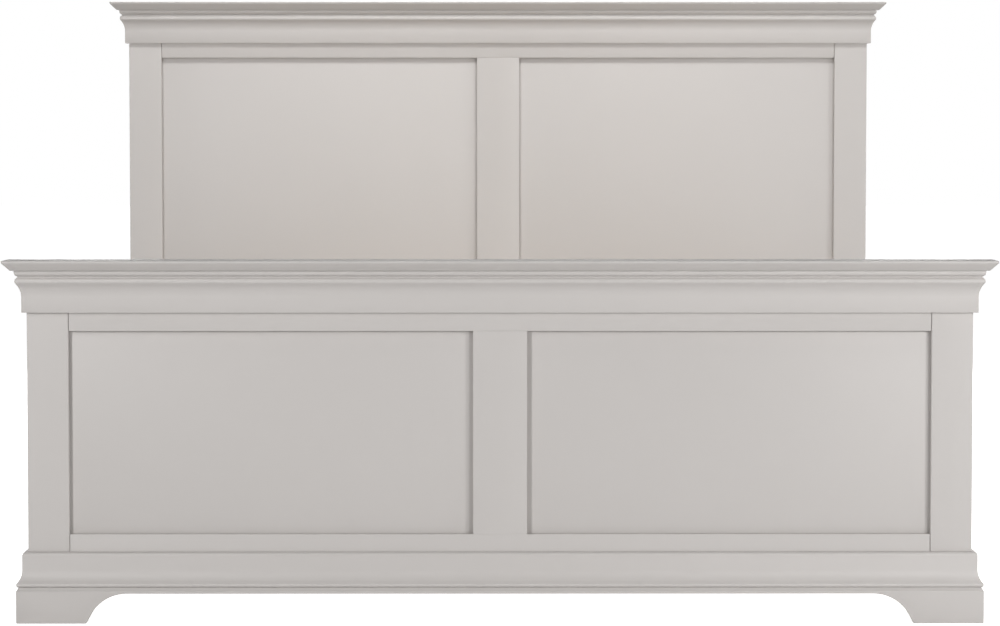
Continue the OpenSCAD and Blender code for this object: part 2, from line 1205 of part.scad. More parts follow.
foot_post_left();
foot_post_right();
foot_top_rail();
foot_bottom_rail();
foot_mullion();
foot_panel_left();
foot_panel_right();
foot_cap();
foot_cornice_front();
foot_cornice_left();
foot_cornice_right();
base_mould_front();
base_mould_left();
base_mould_right();
plinth_front();
plinth_left();
plinth_right();
glue_blocks();
head_post_left();
head_post_right();
head_top_rail();
head_bottom_rail();
head_mullion();
head_panel_left();
head_panel_right();
head_cap();
head_cornice_front();
head_cornice_left();
head_cornice_right();
side_rail_left();
side_rail_right();
slat_ledge_left();
slat_ledge_right();
for (i = [1 : slat_count])
    slat(i);
centre_rail();
centre_rail_hangers();
centre_leg_front();
centre_leg_back();
leg_nuts();
levelling_pad_front();
levelling_pad_back();
levelling_stem_front();
levelling_stem_back();
corner_brackets();
corner_bolts();
threaded_inserts();
bracket_screws();
countersunk_screws();
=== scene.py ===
"""Dresses the panelled bed frame: painted boards, mitred mouldings, pine slats, steel fixings, studio."""

import math

import bmesh
import bpy
from bpy.props import FloatProperty, FloatVectorProperty, IntProperty, PointerProperty
from mathutils import Matrix, Vector


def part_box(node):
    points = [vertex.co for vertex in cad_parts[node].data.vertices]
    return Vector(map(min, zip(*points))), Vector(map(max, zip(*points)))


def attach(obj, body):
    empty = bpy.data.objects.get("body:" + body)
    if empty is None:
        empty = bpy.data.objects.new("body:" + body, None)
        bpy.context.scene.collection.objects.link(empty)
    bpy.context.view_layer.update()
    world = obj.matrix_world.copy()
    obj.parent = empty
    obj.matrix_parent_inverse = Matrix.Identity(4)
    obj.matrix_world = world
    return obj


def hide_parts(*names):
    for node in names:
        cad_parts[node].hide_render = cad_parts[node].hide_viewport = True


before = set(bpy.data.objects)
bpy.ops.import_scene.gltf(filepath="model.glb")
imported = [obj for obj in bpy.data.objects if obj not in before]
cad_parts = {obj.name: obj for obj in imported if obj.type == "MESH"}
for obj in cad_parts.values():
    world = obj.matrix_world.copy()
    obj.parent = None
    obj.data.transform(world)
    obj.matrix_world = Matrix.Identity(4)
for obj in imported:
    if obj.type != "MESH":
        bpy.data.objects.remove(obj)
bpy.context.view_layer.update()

bl_info = {
    "name": "Panelled bed frame",
    "version": (1, 0, 0),
    "blender": (4, 5, 0),
    "location": "3D View > Sidebar > Bed frame",
    "description": "Dresses a painted bed frame and sets up a plain studio",
    "category": "Object",
}

MM = 0.001

# Depth of the chamfers beside the joints, and thickness of the brackets' and hangers' steel
VEE = 1.2 * MM
STEEL = 3 * MM

# Distances within which points merge: in a mesh, in an outline, and along a saw cut
MERGE = 0.000002
OUTLINE_MERGE = 0.000005
SAW_MERGE = 0.000001

BOARDS = ("foot", "head")
SIDES = ("left", "right")
LEGS = ("front", "back")
SLATS = [f"slat_{number:02d}" for number in range(1, 13)]

# Places that the pieces share, in metres, read from the frame
POST_LOW, POST_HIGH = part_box("foot_post_right")
HALF_W = POST_HIGH.x
POST_T = POST_HIGH.y - POST_LOW.y
FOOT_FRONT = POST_LOW.y
FOOT_INNER = FOOT_FRONT + POST_T
HEAD_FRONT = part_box("head_post_right")[0].y
FOOT_CAP_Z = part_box("foot_cap")[0].z
HEAD_CAP_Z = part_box("head_cap")[0].z
MOULD_LOW, MOULD_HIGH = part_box("base_mould_front")
RAIL_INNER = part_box("side_rail_right")[0].x
LEDGE_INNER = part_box("slat_ledge_right")[0].x
SLAT_SCREW_X = (RAIL_INNER + LEDGE_INNER) / 2


# Sizes and colours that a user would change


def float_value(name, description, default, low, high, subtype, unit="NONE"):
    return FloatProperty(
        name=name,
        description=description,
        default=default,
        min=low,
        max=high,
        precision=5,
        subtype=subtype,
        unit=unit,
    )


def length_value(name, description, default, low=0.0, high=0.5):
    return float_value(name, description, default, low, high, "DISTANCE", "LENGTH")


def angle_value(name, description, default, low, high):
    return float_value(name, description, default, low, high, "ANGLE", "ROTATION")


def share_value(name, description, default, low=0.0, high=1.0):
    return float_value(name, description, default, low, high, "FACTOR")


def colour_value(name, description, default):
    return FloatVectorProperty(
        name=name,
        description=description,
        default=default,
        size=3,
        min=0.0,
        max=1.0,
        subtype="COLOR",
    )


class PaintSettings(bpy.types.PropertyGroup):
    """Paint on the boards and side rails."""

    colour: colour_value("Paint colour", "Light warm grey of the boards", (0.552, 0.526, 0.508))
    roughness: share_value("Roughness", "Roughness of the satin paint", 0.5, 0.05)
    relief: length_value("Brush relief", "Height of the marks left by the brush", 0.00002, high=0.001)


class TimberSettings(bpy.types.PropertyGroup):
    """Bare pine of the slatted base."""

    early: colour_value("Early wood", "Colour of the pale part of a growth ring", (0.74, 0.57, 0.36))
    late: colour_value("Late wood", "Colour of the dark part of a growth ring", (0.55, 0.36, 0.18))
    ring: length_value("Ring spacing", "Distance from one growth ring to the next", 0.0045, 0.001, 0.02)


class BoardSettings(bpy.types.PropertyGroup):
    """How far the edges of the boards are rounded."""

    post_edge: length_value("Post edge", "Rounding along the posts", 0.0016, 0.0002, 0.004)
    rail_edge: length_value("Rail edge", "Rounding along the rails and mullions", 0.0008, 0.0002, 0.003)
    joint_depth: length_value("Joint depth", "Depth of the line beside a post", 0.005, 0.0012, 0.008)
    cap_edge: length_value("Cap edge", "Rounding of the cap boards", 0.001, 0.0002, 0.0018)
    timber_edge: length_value("Timber edge", "Rounding of the bare pine's edges", 0.002, 0.0002, 0.004)


class MouldingSettings(bpy.types.PropertyGroup):
    """Profiles of the cornice, the base moulding and the plinth."""

    cornice_out: length_value("Cornice projection", "Projection of the cornice at its top", 0.0224)
    ovolo: length_value("Ovolo radius", "Radius of the rounded member under the cap", 0.0077)
    quirk_out: length_value("Quirk projection", "Projection of the flat between round and bead", 0.016)
    bead: length_value("Bead radius", "Radius of the bead", 0.0075)
    cove: length_value("Cove radius", "Radius of the hollow above the flat band", 0.041)
    fascia_out: length_value("Band projection", "Projection of the cornice's flat band", 0.0094)
    mould_out: length_value("Base projection", "Projection of the base moulding's face", 0.011)
    mould_nose: length_value("Nose projection", "Projection of the base moulding's nose", 0.022)
    mould_round: length_value("Top round", "Radius of the round along the base moulding's top", 0.007)
    flare: length_value("Flare radius", "Radius of the hollow that flares out to the nose", 0.038)
    arch_rise: length_value("Arch height", "Height of the arch between the bracket feet", 0.06)
    arch_radius: length_value("Arch shoulder", "Radius of the arch's shoulders", 0.083)
    arch_slope: angle_value("Foot slope", "Slope of a foot's inner edge", math.radians(62), 0.8, 1.5)
    bracket_foot: length_value("Bracket foot width", "Width of a bracket foot at the floor", 0.14, 0.05)
    edge: length_value("Moulding edge", "Softness of the mouldings' edges", 0.0004, 0.0001, 0.001)


class FixingSettings(bpy.types.PropertyGroup):
    """Screws, bolts and the thread of the levelling feet."""

    pitch: length_value("Thread pitch", "Rise of a levelling foot in one turn", 0.00125, 0.0005, 0.003)
    sides: IntProperty(
        name="Sides",
        description="Number of steps round a screw or bolt",
        default=28,
        min=12,
        max=64,
    )


class StudioSettings(bpy.types.PropertyGroup):
    """Floor, camera and soft lights."""

    floor: colour_value("Floor colour", "Colour of the plain pale floor", (0.86, 0.86, 0.86))
    glow: share_value("Floor glow", "How far the camera sees the floor lifted towards white", 0.95)
    lens: FloatProperty(
        name="Lens",
        description="Focal length on a 36 mm wide sensor",
        default=129.02,
        min=10.0,
        max=300.0,
        unit="CAMERA",
    )
    distance: length_value("Camera distance", "From the camera to the middle of the bed", 8.178, 2.0, 30.0)
    height: length_value("Camera height", "Height of the camera above the floor", 1.026, 0.1, 5.0)
    tilt: angle_value("Camera tilt", "Angle that the camera looks down", 0.0567, -1.5, 1.5)
    ambient: share_value("Ambient", "Strength of the even light from all round", 0.12, high=3.0)


GROUPS = {
    "bed_paint": PaintSettings,
    "bed_timber": TimberSettings,
    "bed_boards": BoardSettings,
    "bed_mouldings": MouldingSettings,
    "bed_fixings": FixingSettings,
    "bed_studio": StudioSettings,
}


# Selecting, drawing and cutting


# A sharper corner than this is a corner to ease, and faces within the second angle are one flat face
CORNER_ANGLE = math.radians(60)
FLAT_ANGLE = math.radians(0.4)

# Degrees of an arc that one of its steps takes
ARC_STEP = 7

# How far a cutter stands out of the surface it cuts
CLEAR = 0.2 * MM

# A cross recess: a blade's thickness against its width, and its width at the bottom against the top
BLADE_SHARE, POINT_SHARE = 0.24, 0.45


def select_only(*pieces):
    """Selects these pieces and no others, with the first one active."""
    bpy.ops.object.select_all(action="DESELECT")
    for piece in pieces:
        piece.select_set(True)
    bpy.context.view_layer.objects.active = pieces[0]


def open_mesh(piece):
    select_only(piece)
    bpy.ops.object.mode_set(mode="EDIT")
    bpy.ops.mesh.select_mode(type="VERT")


def close_mesh():
    bpy.ops.object.mode_set(mode="OBJECT")


def close_solid():
    """Merges the doubles of the open mesh, points all its faces outwards, and closes it."""
    bpy.ops.mesh.select_all(action="SELECT")
    bpy.ops.mesh.remove_doubles(threshold=MERGE)
    bpy.ops.mesh.normals_make_consistent(inside=False)
    close_mesh()


def select_elements(piece, kind, wanted):
    """In edit mode, selects the vertices, edges or faces that pass the wanted test."""
    bpy.ops.mesh.select_mode(type=kind)
    bpy.ops.mesh.select_all(action="DESELECT")
    mesh = bmesh.from_edit_mesh(piece.data)
    elements = {"VERT": mesh.verts, "EDGE": mesh.edges, "FACE": mesh.faces}[kind]
    for element in elements:
        if wanted(element):
            element.select_set(True)
    mesh.select_flush_mode()
    bmesh.update_edit_mesh(piece.data)


def extrude(step):
    bpy.ops.mesh.extrude_region_move(TRANSFORM_OT_translate={"value": step})


def apply_modifier(piece, kind, **settings):
    """Adds a modifier with these settings to a piece, and applies it."""
    modifier = piece.modifiers.new(kind.title(), kind)
    for name, value in settings.items():
        setattr(modifier, name, value)
    select_only(piece)
    bpy.ops.object.modifier_apply(modifier=modifier.name)


def apply_place(*pieces):
    select_only(*pieces)
    bpy.ops.object.transform_apply(location=True, rotation=True, scale=True)


def smooth(piece, degrees=32):
    select_only(piece)
    bpy.ops.object.shade_smooth_by_angle(angle=math.radians(degrees))


def link_object(name, data):
    new = bpy.data.objects.new(name, data)
    bpy.context.scene.collection.objects.link(new)
    return new


def add_primitive(operator, scale=(1, 1, 1), **values):
    """Runs an operator that adds a primitive, scales what it adds, and applies its place."""
    bpy.ops.object.select_all(action="DESELECT")
    operator(**values)
    piece = bpy.context.object
    piece.scale = scale
    apply_place(piece)
    return piece


def clean_copy(node, name):
    """A copy of a CAD node with its doubles merged and its flat faces made whole."""
    piece = link_object(name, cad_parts[node].data.copy())
    select_only(piece)
    bpy.ops.mesh.customdata_custom_splitnormals_clear()
    open_mesh(piece)
    bpy.ops.mesh.select_all(action="SELECT")
    bpy.ops.mesh.remove_doubles(threshold=MERGE)
    bpy.ops.mesh.dissolve_limited(angle_limit=FLAT_ANGLE)
    close_mesh()
    return piece


def bevel(piece, method, width, segments, **settings):
    """Rounds the edges that the method picks out, and shades the piece smooth."""
    apply_modifier(piece, "BEVEL", limit_method=method, width=width, segments=segments, **settings)
    smooth(piece)


def ease_edges(piece, width, shortest=0.02, segments=2):
    """Rounds the long outside corners of a piece."""
    open_mesh(piece)
    select_elements(
        piece,
        "EDGE",
        lambda edge: edge.is_manifold
        and edge.calc_length() >= shortest
        and edge.calc_face_angle_signed(0.0) >= CORNER_ANGLE,
    )
    bpy.ops.transform.edge_bevelweight(value=1.0)
    close_mesh()
    bevel(piece, "WEIGHT", width, segments, use_clamp_overlap=False)


def soften(piece, width, degrees=38, segments=2):
    """Rounds every crisp edge of a small piece or moulding."""
    bevel(piece, "ANGLE", width, segments, angle_limit=math.radians(degrees), use_clamp_overlap=True)


def cut(piece, cutter):
    """Takes a cutter's shape out of a piece, and removes the cutter."""
    apply_modifier(piece, "BOOLEAN", operation="DIFFERENCE", solver="EXACT", object=cutter)
    bpy.data.objects.remove(cutter)


def draw_outline(name, start, members, place, axis):
    """Draws an outline point by point, and leaves it open in edit mode, all selected.

    A member is ("line", across, up) or ("arc", centre across, centre up, degrees), anticlockwise
    where positive. place turns (across, up) into a point, and axis is what the arcs turn about.
    """
    piece = add_primitive(bpy.ops.mesh.primitive_plane_add, size=0.01, location=place(*start))
    piece.name = name
    open_mesh(piece)
    bpy.ops.mesh.select_all(action="SELECT")
    bpy.ops.mesh.merge(type="CENTER")
    here = Vector(start)
    for kind, across, up, *turn in members:
        there = Vector((across, up))
        if kind == "line":
            extrude(Vector(place(*there)) - Vector(place(*here)))
            here = there
            continue
        angle = math.radians(turn[0])
        steps = max(3, round(abs(turn[0]) / ARC_STEP))
        bpy.ops.mesh.spin(steps=steps, angle=-angle, center=place(across, up), axis=axis)
        here = there + Matrix.Rotation(angle, 2) @ (here - there)
    bpy.ops.mesh.select_all(action="SELECT")
    bpy.ops.mesh.remove_doubles(threshold=OUTLINE_MERGE)
    return piece


def run_moulding(name, members, place, axis, run, cuts):
    """Draws a profile, runs it out along its length, and saws its ends off on the planes in cuts."""
    piece = draw_outline(name, (0.0, 0.0), members, place, axis)
    extrude(run)
    for point, normal in cuts:
        bpy.ops.mesh.select_all(action="SELECT")
        bpy.ops.mesh.bisect(
            plane_co=point,
            plane_no=normal,
            use_fill=True,
            clear_outer=True,
            threshold=SAW_MERGE,
        )
    close_solid()
    return piece


def turn_solid(name, points, sides, rise=0.0, turns=1):
    """Revolves an outline of (radius, height) about the upright axis, or winds it into a thread."""
    members = [("line", radius, height) for radius, height in points[1:]]
    piece = draw_outline(name, points[0], members, lambda r, h: (r, 0.0, h), (0, 1, 0))
    close_mesh()
    apply_modifier(
        piece,
        "SCREW",
        axis="Z",
        steps=sides,
        render_steps=sides,
        screw_offset=rise,
        iterations=turns,
        use_merge_vertices=rise == 0.0,
        merge_threshold=SAW_MERGE,
    )
    open_mesh(piece)
    close_solid()
    return piece


def add_hexagon(radius, depth, height):
    """A hexagonal bar on the upright axis, its middle at this height."""
    values = {"vertices": 6, "radius": radius, "depth": depth, "location": (0, 0, height)}
    return add_primitive(bpy.ops.mesh.primitive_cylinder_add, **values)


def cut_cross(screw, size, depth, top):
    """Sinks the tapered cross recess of a screw, which fits a driver's point."""
    thin = size * BLADE_SHARE
    for across, along in ((size, thin), (thin, size)):
        blade = add_primitive(
            bpy.ops.mesh.primitive_cube_add,
            scale=(across, along, depth + 2 * CLEAR),
            size=1,
            location=(0, 0, top - depth / 2 + CLEAR),
        )
        open_mesh(blade)
        select_elements(blade, "VERT", lambda vertex: vertex.co.z < top - depth / 2)
        point = (POINT_SHARE, POINT_SHARE, 1.0)
        bpy.ops.transform.resize(value=point, center_override=(0, 0, top - depth))
        close_mesh()
        cut(screw, blade)
    smooth(screw)


# By the first word of a finish: how the names of its pieces start, and its material slot
KINDS = {
    "Paint": ("painted", "painted_wood"),
    "Pine": ("pine", "pine"),
    "Zinc": ("zinc", "zinc_steel"),
    "Black": ("plastic", "black_plastic"),
}
ZINC = "Zinc plated steel"
PLASTIC = "Black plastic"


def fit(piece, node, finish, body="root"):
    """Puts a finished piece in place of its CAD node."""
    piece.data.name = piece.name
    piece.data.materials.clear()
    piece.data.materials.append(bpy.data.materials[finish])
    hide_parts(node)
    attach(piece, body)


def place_copies(node, master, places):
    """Puts joined copies of a fixing in place of a node, each at its (seat, way that its head points)."""
    copies = []
    for seat, direction in places:
        copy = link_object(f"zinc_{node}", master.data.copy())
        turn = Vector(direction).to_track_quat("Z", "Y").to_matrix().to_4x4()
        copy.matrix_world = Matrix.Translation(seat) @ turn
        copies.append(copy)
    bpy.data.objects.remove(master)
    apply_place(*copies)
    bpy.ops.object.join()
    piece = bpy.context.object
    piece.name = f"zinc_{node}"
    fit(piece, node, ZINC)


def number_board(piece, number):
    """Gives a pine board its own place in the log, so that no two boards look alike."""
    attribute = piece.data.attributes.new("board", "FLOAT", "POINT")
    attribute.data.foreach_set("value", [number] * len(piece.data.vertices))


def ease_node(node, finish, width, shortest=0.02, segments=2, number=None, shape=None):
    """Puts a copy of a CAD node in its place, shaped if asked, with its long corners rounded."""
    piece = clean_copy(node, f"{KINDS[finish.split()[0]][0]}_{node}")
    if shape is not None:
        shape(piece)
    ease_edges(piece, width, shortest, segments)
    if number is not None:
        number_board(piece, number)
    fit(piece, node, finish)


# Materials


# How brush marks and grain are turned from X, for each way that a board lies
GRAINS = {
    "across": (0.0, 0.0, 0.0),
    "lengthwise": (0.0, 0.0, math.radians(-90)),
    "upright": (0.0, math.radians(90), 0.0),
}

# Scales of the marks in the paint: strokes along and across X, stipple, slow changes of tone
STROKES, STIPPLE, CLOUDS = (9, 420, 420), 900.0, 2.6

# Darkest and lightest tone of the paint against its colour, and how far its roughness changes
TONES, ROUGHNESS_CHANGE = (0.99, 1.01), 0.04

# Scales of the pine's fibres and of the sway of its rings, along and across the board, and of its knots
FIBRES, SWAY, KNOTS = (14, 700, 700), (1.6, 5, 5), 3.1

# How far the rings sway, and how far one board number moves a board in the log
SWAY_WIDTH = (0.0, 0.055, 0.055)
BOARD_STEP = (3.7, 0.113, 0.061)


def feed(tree, socket, value):
    """Links a node's output to a socket, or fills the socket with a plain value."""
    if isinstance(value, bpy.types.NodeSocket):
        tree.links.new(value, socket)
    else:
        socket.default_value = value


def feed_named(tree, node, **values):
    for name, value in values.items():
        feed(tree, node.inputs[name.replace("_", " ")], value)


def add_node(tree, kind, **values):
    """A new node to the right of the others, its named settings and sockets filled in or linked."""
    node = tree.nodes.new(kind)
    node.location = (200 * len(tree.nodes), 0)
    for name, value in values.items():
        if name in node.bl_rna.properties:
            setattr(node, name, value)
        else:
            feed_named(tree, node, **{name: value})
    return node


def work_out(tree, kind, operation, *values):
    """A Math or VectorMath node, its inputs filled or linked in their order; gives its output."""
    node = add_node(tree, f"ShaderNode{kind}", operation=operation)
    for socket, value in zip(node.inputs, values):
        feed(tree, socket, value)
    gives_vector = kind == "VectorMath" and operation != "LENGTH"
    return node.outputs["Vector" if gives_vector else "Value"]


def new_group(name, inputs, outputs):
    """A shader node group with named sockets, what it is given, and its output node."""
    group = bpy.data.node_groups.new(name, "ShaderNodeTree")
    for way, sockets in (("INPUT", inputs), ("OUTPUT", outputs)):
        for label, kind in sockets.items():
            group.interface.new_socket(name=label, in_out=way, socket_type=f"NodeSocket{kind}")
    return group, add_node(group, "NodeGroupInput").outputs, add_node(group, "NodeGroupOutput")


def stretch(tree, vector, scale):
    """Scales a vector by different amounts along each axis."""
    return work_out(tree, "VectorMath", "MULTIPLY", vector, scale)


def noise(tree, vector, scale, detail, output="Fac"):
    texture = add_node(tree, "ShaderNodeTexNoise", Scale=scale, Detail=detail, Vector=vector)
    return texture.outputs[output]


def weigh(tree, first, first_share, second, second_share):
    """Adds two values, each times its share."""
    scaled = work_out(tree, "Math", "MULTIPLY", first, first_share)
    return work_out(tree, "Math", "MULTIPLY_ADD", second, second_share, scaled)


def spread(tree, value, low, high, clip=(0.3, 0.7), **settings):
    """Maps a noise value onto a range."""
    ends = {"From_Min": clip[0], "From_Max": clip[1], "To_Min": low, "To_Max": high}
    return add_node(tree, "ShaderNodeMapRange", Value=value, **ends, **settings).outputs["Result"]


def mix_colours(tree, factor, first, second):
    mix = add_node(tree, "ShaderNodeMix", data_type="RGBA", Factor=factor, A=first, B=second)
    return mix.outputs["Result"]


def brushed_paint_group():
    """Marks of roller and brush: strokes along X, a fine stipple, and slow changes of tone."""
    group, given, result = new_group(
        "Brushed paint", {"Vector": "Vector"}, {"Tone": "Float", "Height": "Float"}
    )
    vector = given["Vector"]
    strokes = noise(group, stretch(group, vector, STROKES), 1.0, 3.0)
    stipple = noise(group, vector, STIPPLE, 1.0)
    clouds = noise(group, vector, CLOUDS, 3.0)
    tone = weigh(group, clouds, 0.8, strokes, 0.2)
    height = weigh(group, strokes, 0.4, stipple, 0.6)
    feed_named(group, result, Tone=tone, Height=height)
    return group


def add_ring_ramp(group, phase):
    """Darkness across one growth ring: it climbs slowly to the late wood and drops at once."""
    ramp = add_node(group, "ShaderNodeValToRGB", Fac=phase)
    stops = ramp.color_ramp.elements
    for stop, level in zip(stops, (0.0, 0.1)):
        stop.color = (level, level, level, 1.0)
    for position, level in ((0.45, 0.18), (0.86, 0.85)):
        stops.new(position).color = (level, level, level, 1.0)
    return ramp.outputs["Color"]


def pine_group():
    """Growth rings round an axis along X, fine fibres, and a knot here and there."""
    group, given, result = new_group(
        "Pine grain",
        {
            "Vector": "Vector",
            "Board": "Float",
            "Early wood": "Color",
            "Late wood": "Color",
            "Rings per metre": "Float",
        },
        {"Colour": "Color", "Gloss": "Float", "Height": "Float"},
    )
    shift = stretch(group, given["Board"], BOARD_STEP)
    vector = work_out(group, "VectorMath", "ADD", given["Vector"], shift)
    sway = noise(group, stretch(group, vector, SWAY), 1.0, 2.0, output="Color")
    swayed = work_out(group, "VectorMath", "MULTIPLY_ADD", sway, SWAY_WIDTH, vector)
    radius = work_out(group, "VectorMath", "LENGTH", stretch(group, swayed, (0.0, 1.0, 1.0)))
    count = work_out(group, "Math", "MULTIPLY", radius, given["Rings per metre"])
    rings = add_ring_ramp(group, work_out(group, "Math", "FRACT", count))
    fibres = noise(group, stretch(group, vector, FIBRES), 1.0, 2.0)
    grain = weigh(group, rings, 0.72, fibres, 0.34)
    knots = add_node(group, "ShaderNodeTexVoronoi", Scale=KNOTS, Vector=vector).outputs["Distance"]
    knot = spread(group, knots, 1.0, 0.0, clip=(0.02, 0.06), interpolation_type="SMOOTHSTEP")
    late = work_out(group, "Math", "MAXIMUM", grain, knot)
    colour = mix_colours(group, late, given["Early wood"], given["Late wood"])
    feed_named(group, result, Colour=colour, Gloss=late, Height=fibres)
    return group


def wear_group():
    """Fine scratches and dull patches of handled steel or moulded plastic."""
    group, given, result = new_group(
        "Handled surface",
        {"Vector": "Vector", "Patch": "Float", "Grit": "Float"},
        {"Patches": "Float", "Height": "Float"},
    )
    patches = noise(group, given["Vector"], given["Patch"], 3.0)
    grit = noise(group, given["Vector"], given["Grit"], 2.0)
    feed_named(group, result, Patches=patches, Height=grit)
    return group


def new_material(name):
    material = bpy.data.materials.new(name)
    material.use_nodes = True
    tree = material.node_tree
    return material, tree, tree.nodes["Principled BSDF"]


def grain_coordinates(tree, way):
    """Object coordinates turned so that X runs along the board."""
    coordinates = add_node(tree, "ShaderNodeTexCoord").outputs["Object"]
    mapping = add_node(tree, "ShaderNodeMapping", Rotation=GRAINS[way], Vector=coordinates)
    return mapping.outputs["Vector"]


def new_finish(name, group, way, **values):
    """A material with a shared group placed in it; gives its tree, its shader, the group's outputs."""
    material, tree, shader = new_material(name)
    vector = grain_coordinates(tree, way)
    placed = add_node(tree, "ShaderNodeGroup", node_tree=group, Vector=vector, **values)
    return tree, shader, placed.outputs


def fill_shader(tree, shader, height, distance, strength, **values):
    """Fills the shader's sockets, and gives it a relief of this height map, depth and strength."""
    bump = add_node(tree, "ShaderNodeBump", Distance=distance, Strength=strength, Height=height)
    feed_named(tree, shader, Normal=bump.outputs["Normal"], **values)


def make_paint(way, group):
    settings = bpy.context.scene.bed_paint
    tree, shader, marks = new_finish(f"Paint {way}", group, way)
    dark, light = ((*(Vector(settings.colour) * share), 1.0) for share in TONES)
    rough = settings.roughness
    fill_shader(
        tree,
        shader,
        marks["Height"],
        distance=settings.relief,
        strength=0.5,
        Base_Color=mix_colours(tree, spread(tree, marks["Tone"], 0.0, 1.0), dark, light),
        Roughness=spread(tree, marks["Height"], rough - ROUGHNESS_CHANGE, rough + ROUGHNESS_CHANGE),
        Specular_IOR_Level=0.4,
    )


def make_pine(way, group):
    settings = bpy.context.scene.bed_timber
    tree, shader, grain = new_finish(
        f"Pine {way}",
        group,
        way,
        Early_wood=(*settings.early, 1.0),
        Late_wood=(*settings.late, 1.0),
        Rings_per_metre=1.0 / settings.ring,
    )
    board = add_node(tree, "ShaderNodeAttribute", attribute_name="board").outputs["Fac"]
    feed_named(tree, grain["Colour"].node, Board=board)
    fill_shader(
        tree,
        shader,
        grain["Height"],
        distance=0.1 * MM,
        strength=0.6,
        Base_Color=grain["Colour"],
        Roughness=spread(tree, grain["Gloss"], 0.66, 0.5),
        Specular_IOR_Level=0.35,
    )


def make_worn(name, group, scales, colours, roughness, relief, metallic=0.0):
    """Steel or plastic. The pairs: patches and grit per metre, darkest and lightest, low and high,
    depth and strength."""
    tree, shader, worn = new_finish(name, group, "across", Patch=scales[0], Grit=scales[1])
    dark, light = ((*colour, 1.0) for colour in colours)
    fill_shader(
        tree,
        shader,
        worn["Height"],
        *relief,
        Base_Color=mix_colours(tree, spread(tree, worn["Patches"], 0.0, 1.0), dark, light),
        Roughness=spread(tree, worn["Patches"], *roughness),
        Metallic=metallic,
    )


class BED_OT_finishes(bpy.types.Operator):
    """Makes the paint, pine, zinc and plastic"""

    bl_idname = "bed.make_finishes"
    bl_label = "Finishes"

    def execute(self, context):
        for make, group in ((make_paint, brushed_paint_group()), (make_pine, pine_group())):
            for way in GRAINS:
                make(way, group)
        worn = wear_group()
        make_worn(
            ZINC,
            worn,
            scales=(160.0, 1800.0),
            colours=((0.57, 0.585, 0.6), (0.7, 0.71, 0.72)),
            roughness=(0.26, 0.42),
            relief=(0.03 * MM, 0.5),
            metallic=1.0,
        )
        make_worn(
            PLASTIC,
            worn,
            scales=(60.0, 2600.0),
            colours=((0.018, 0.018, 0.02), (0.03, 0.03, 0.032)),
            roughness=(0.42, 0.58),
            relief=(0.06 * MM, 0.6),
        )
        return {"FINISHED"}


# The two boards


class BED_OT_posts(bpy.types.Operator):
    """Finishes the four posts"""

    bl_idname = "bed.make_posts"
    bl_label = "Posts"

    def execute(self, context):
        width = context.scene.bed_boards.post_edge
        for board in BOARDS:
            for side in SIDES:
                ease_node(f"{board}_post_{side}", "Paint upright", width, shortest=0.05, segments=3)
        return {"FINISHED"}


def deepen_joints(piece, depth):
    """Takes the V at both ends of a rail deeper, so that the line beside the post reads dark."""
    vertices = piece.data.vertices
    front = min(vert.co.y for vert in vertices)
    reach = VEE + max(abs(vert.co.x) for vert in vertices if vert.co.y < front + VEE / 2)
    open_mesh(piece)
    select_elements(
        piece,
        "VERT",
        lambda vert: abs(abs(vert.co.x) - reach) < VEE / 4 and abs(vert.co.y - front - VEE) < VEE / 4,
    )
    bpy.ops.transform.translate(value=(0.0, depth - VEE, 0.0))
    close_mesh()


class BED_OT_rails(bpy.types.Operator):
    """Finishes the boards' rails and mullions"""

    bl_idname = "bed.make_rails"
    bl_label = "Rails and mullions"

    def execute(self, context):
        settings = context.scene.bed_boards
        width = settings.rail_edge

        def deepen(piece):
            deepen_joints(piece, settings.joint_depth)

        for board in BOARDS:
            for rail in ("top_rail", "bottom_rail"):
                ease_node(f"{board}_{rail}", "Paint across", width, shortest=0.5, shape=deepen)
            ease_node(f"{board}_mullion", "Paint upright", width, shortest=0.2)
        return {"FINISHED"}


class BED_OT_panels(bpy.types.Operator):
    """Finishes the four flat panels"""

    bl_idname = "bed.make_panels"
    bl_label = "Panels"

    def execute(self, context):
        width = context.scene.bed_boards.rail_edge
        for board in BOARDS:
            for side in SIDES:
                ease_node(f"{board}_panel_{side}", "Paint across", width)
        return {"FINISHED"}


class BED_OT_caps(bpy.types.Operator):
    """Finishes the two cap boards"""

    bl_idname = "bed.make_caps"
    bl_label = "Caps"

    def execute(self, context):
        for node in ("foot_cap", "head_cap"):
            piece = clean_copy(node, f"painted_{node}")
            soften(piece, context.scene.bed_boards.cap_edge, segments=3)
            fit(piece, node, "Paint across")
        return {"FINISHED"}


# Small members of the mouldings: the cornice's upright edge, the step back to its bead and the height
# of its quirk; the nose's bevel and the height of the flare on the base moulding; the plinth's chamfer
CORNICE_EDGE = 3.9 * MM
BEAD_BACK = 1 * MM
QUIRK_HEIGHT = 2.3 * MM
NOSE_BEVEL = 3 * MM
FLARE_TOP = 34 * MM
PLINTH_CHAMFER = (5 * MM, 7 * MM)

# How far a profile runs past the planes that its ends are sawn off on
OVERRUN = 0.05

# The shortest edge of a plinth that is eased, and how far the arch's cutter reaches below the floor
PLINTH_EDGE = 0.003
ARCH_BELOW = 0.004


def arc_drop(radius, across):
    """Height on a circle's side, from its centre, at a distance across from that centre."""
    return math.sqrt(radius**2 - across**2)


